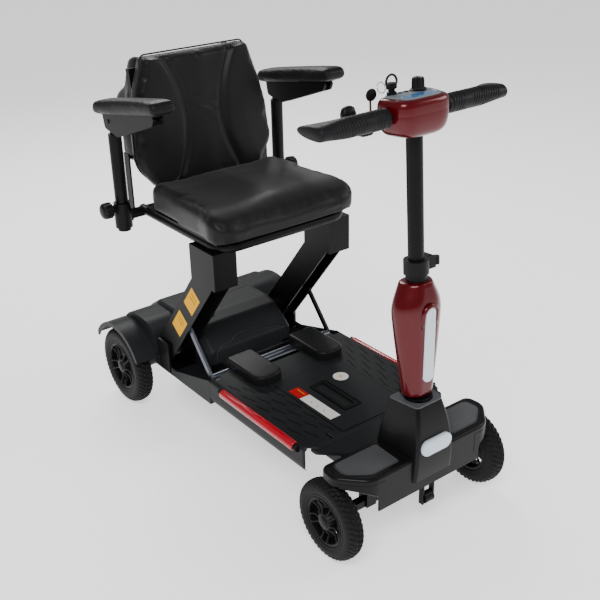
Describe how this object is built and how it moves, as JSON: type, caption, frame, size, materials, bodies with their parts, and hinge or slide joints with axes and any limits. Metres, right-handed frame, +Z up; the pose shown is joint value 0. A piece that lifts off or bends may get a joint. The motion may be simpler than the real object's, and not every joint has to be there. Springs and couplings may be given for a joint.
{
  "type": "folding mobility scooter",
  "caption": "Folding electric mobility scooter with a raised seat, flip-up armrests, a folding telescopic steering column and a lift-out battery under the floor.",
  "frame": {"origin": "on the ground, under the middle of the overall box", "axes": "+Z up; -Y is the driving direction; +X is the rider's left-hand side"},
  "size_m": [0.558, 0.988, 0.9412],
  "materials": {
    "frame_paint": "satin black powder coat",
    "deck_plastic": "moulded charcoal plastic, fine grain",
    "cover_plastic": "moulded charcoal plastic, fine grain",
    "red_plastic": "candy red metallic gloss",
    "lens": "pale frosted lens",
    "tyre": "treaded black rubber",
    "rim": "satin black rim",
    "grip_rubber": "ribbed black rubber",
    "black_plastic": "satin black plastic",
    "drive_metal": "dark cast housing",
    "battery_plastic": "black plastic case",
    "upholstery": "black leatherette",
    "pocket_fabric": "black woven fabric",
    "panel": "printed overlay",
    "strut_steel": "dark plated steel"
  },
  "bodies": {
    "chassis": {"chassis_frame": "frame_paint", "deck_panel": "deck_plastic", "rear_tray": "deck_plastic", "side_strips": "red_plastic", "shaft_covers": "deck_plastic", "rear_cover": "cover_plastic", "fenders": "cover_plastic", "drive_unit": "drive_metal", "motor_controller": "black_plastic", "front_cover": "cover_plastic", "foot_pads": "cover_plastic", "pedestal_ring": "cover_plastic", "headlight_lens": "lens"},
    "battery": {"battery_case": "battery_plastic", "battery_lid": "deck_plastic"},
    "battery_grip": {"battery_handle": "black_plastic"},
    "rear_wheel_left": {"rear_tyre_left": "tyre", "rear_rim_left": "rim"},
    "rear_wheel_right": {"rear_tyre_right": "tyre", "rear_rim_right": "rim"},
    "knuckle_left_body": {"knuckle_left": "frame_paint"},
    "knuckle_right_body": {"knuckle_right": "frame_paint"},
    "front_wheel_left": {"front_tyre_left": "tyre", "front_rim_left": "rim"},
    "front_wheel_right": {"front_tyre_right": "tyre", "front_rim_right": "rim"},
    "tie_rod_body": {"tie_rod": "frame_paint"},
    "roller": {"front_roller": "grip_rubber"},
    "steering": {"steering_shaft": "frame_paint"},
    "column": {"column_tube": "frame_paint", "column_cover": "red_plastic", "column_light": "lens", "stem_collar": "black_plastic"},
    "clamp_lever": {"collar_lever": "black_plastic"},
    "handlebar": {"stem_and_bar": "frame_paint", "console": "red_plastic", "display_panel": "panel", "grip_left": "grip_rubber", "grip_right": "grip_rubber"},
    "throttle": {"throttle_lever": "black_plastic"},
    "reverse": {"reverse_lever": "black_plastic"},
    "dial": {"speed_dial": "black_plastic"},
    "key": {"ignition_key": "black_plastic"},
    "lift": {"lift_arms": "frame_paint"},
    "stays": {"struts": "strut_steel"},
    "seat": {"seat_brackets": "frame_paint", "seat_frame": "frame_paint", "seat_cushion": "upholstery", "armrest_sleeves": "frame_paint"},
    "backrest": {"backrest_cushion": "upholstery", "backrest_frame": "frame_paint", "backrest_pocket": "pocket_fabric"},
    "post_left": {"armrest_post_left": "frame_paint"},
    "post_right": {"armrest_post_right": "frame_paint"},
    "armrest_left": {"armrest_bracket_left": "frame_paint", "armrest_pad_left": "upholstery"},
    "armrest_right": {"armrest_bracket_right": "frame_paint", "armrest_pad_right": "upholstery"},
    "knob_left": {"clamp_knob_left": "black_plastic"},
    "knob_right": {"clamp_knob_right": "black_plastic"}
  },
  "joints": [
    {"name": "rear_wheel_spin_left", "type": "hinge", "parent": "chassis", "child": "rear_wheel_left", "pos_m": [0.222, 0.394, 0.1], "axis": [1, 0, 0], "continuous": true},
    {"name": "rear_wheel_spin_right", "type": "hinge", "parent": "chassis", "child": "rear_wheel_right", "pos_m": [-0.222, 0.394, 0.1], "axis": [1, 0, 0], "continuous": true},
    {"name": "battery_lift", "type": "slide", "parent": "chassis", "child": "battery", "axis": [0, 0, -1], "range_m": [-0.2, 0]},
    {"name": "battery_handle_fold", "type": "hinge", "parent": "battery", "child": "battery_grip", "pos_m": [-0.013, -0.1265, 0.1969], "axis": [-1, 0, 0], "range_deg": [0, 80]},
    {"name": "steering_turn", "type": "hinge", "parent": "chassis", "child": "steering", "pos_m": [0, -0.4306, 0.314], "axis": [0, 0.064, 0.9979], "range_deg": [-30, 30]},
    {"name": "knuckle_turn_left", "type": "hinge", "parent": "chassis", "child": "knuckle_left_body", "pos_m": [0.17, -0.402, 0.088], "axis": [0, 0, 1], "range_deg": [-25, 25]},
    {"name": "front_wheel_spin_left", "type": "hinge", "parent": "knuckle_left_body", "child": "front_wheel_left", "pos_m": [0.202, -0.402, 0.087], "axis": [1, 0, 0], "continuous": true},
    {"name": "knuckle_turn_right", "type": "hinge", "parent": "chassis", "child": "knuckle_right_body", "pos_m": [-0.17, -0.402, 0.088], "axis": [0, 0, 1], "range_deg": [-25, 25]},
    {"name": "front_wheel_spin_right", "type": "hinge", "parent": "knuckle_right_body", "child": "front_wheel_right", "pos_m": [-0.202, -0.402, 0.087], "axis": [1, 0, 0], "continuous": true},
    {"name": "tie_rod_shift", "type": "slide", "parent": "chassis", "child": "tie_rod_body", "axis": [1, 0, 0], "range_m": [-0.0205, 0.0205]},
    {"name": "roller_spin", "type": "hinge", "parent": "chassis", "child": "roller", "pos_m": [0, -0.467, 0.083], "axis": [1, 0, 0], "continuous": true},
    {"name": "column_fold", "type": "hinge", "parent": "steering", "child": "column", "pos_m": [0, -0.4044, 0.31633], "axis": [-1, 0, 0], "range_deg": [0, 48]},
    {"name": "clamp_lever_open", "type": "hinge", "parent": "column", "child": "clamp_lever", "pos_m": [0.049, -0.41631, 0.58364], "axis": [0, -0.064, -0.9979], "range_deg": [0, 100]},
    {"name": "stem_height", "type": "slide", "parent": "column", "child": "handlebar", "axis": [0, 0.064, 0.9979], "range_m": [-0.18, 0]},
    {"name": "throttle_press", "type": "hinge", "parent": "handlebar", "child": "throttle", "pos_m": [-0.076, -0.36768, 0.87312], "axis": [0, 0.064, 0.9979], "range_deg": [-14, 0], "stiffness_Nm_per_rad": 0.6},
    {"name": "reverse_press", "type": "hinge", "parent": "handlebar", "child": "reverse", "pos_m": [-0.074, -0.37756, 0.85972], "axis": [0, 0.064, 0.9979], "range_deg": [-14, 0], "stiffness_Nm_per_rad": 0.6},
    {"name": "dial_turn", "type": "hinge", "parent": "handlebar", "child": "dial", "pos_m": [0.024, -0.37873, 0.90389], "axis": [0, 0.064, 0.9979], "range_deg": [-135, 135]},
    {"name": "key_turn", "type": "hinge", "parent": "handlebar", "child": "key", "pos_m": [-0.03, -0.36875, 0.90325], "axis": [0, 0.064, 0.9979], "range_deg": [0, 70]},
    {"name": "seat_fold", "type": "hinge", "parent": "chassis", "child": "lift", "pos_m": [0, 0.25, 0.196], "axis": [1, 0, 0], "range_deg": [0, 34]},
    {"name": "strut_fold", "type": "hinge", "parent": "chassis", "child": "stays", "pos_m": [0, 0.064, 0.187], "axis": [1, 0, 0], "range_deg": [0, 94]},
    {"name": "seat_level", "type": "hinge", "parent": "lift", "child": "seat", "pos_m": [0, 0.056, 0.44], "axis": [1, 0, 0], "range_deg": [-35, 0]},
    {"name": "backrest_fold", "type": "hinge", "parent": "seat", "child": "backrest", "pos_m": [0, 0.341, 0.655], "axis": [-1, 0, 0], "range_deg": [-88, 0]},
    {"name": "armrest_height_left", "type": "slide", "parent": "seat", "child": "post_left", "axis": [0, 0, 1], "range_m": [0, 0.06]},
    {"name": "armrest_flip_left", "type": "hinge", "parent": "post_left", "child": "armrest_left", "pos_m": [0.225, 0.325, 0.752], "axis": [-1, 0, 0], "range_deg": [0, 80]},
    {"name": "clamp_knob_turn_left", "type": "hinge", "parent": "seat", "child": "knob_left", "pos_m": [0.265, 0.325, 0.548], "axis": [1, 0, 0], "continuous": true},
    {"name": "armrest_height_right", "type": "slide", "parent": "seat", "child": "post_right", "axis": [0, 0, 1], "range_m": [0, 0.06]},
    {"name": "armrest_flip_right", "type": "hinge", "parent": "post_right", "child": "armrest_right", "pos_m": [-0.225, 0.325, 0.752], "axis": [-1, 0, 0], "range_deg": [0, 80]},
    {"name": "clamp_knob_turn_right", "type": "hinge", "parent": "seat", "child": "knob_right", "pos_m": [-0.265, 0.325, 0.548], "axis": [1, 0, 0], "continuous": true}
  ],
  "couplings": [
    {"joint": "knuckle_turn_left", "follows": "steering_turn", "ratio": 0.8},
    {"joint": "knuckle_turn_right", "follows": "steering_turn", "ratio": 0.8},
    {"joint": "tie_rod_shift", "follows": "steering_turn", "m_per_rad": -0.036},
    {"joint": "strut_fold", "follows": "seat_fold", "ratio": 2.73},
    {"joint": "seat_level", "follows": "seat_fold", "ratio": -1}
  ]
}
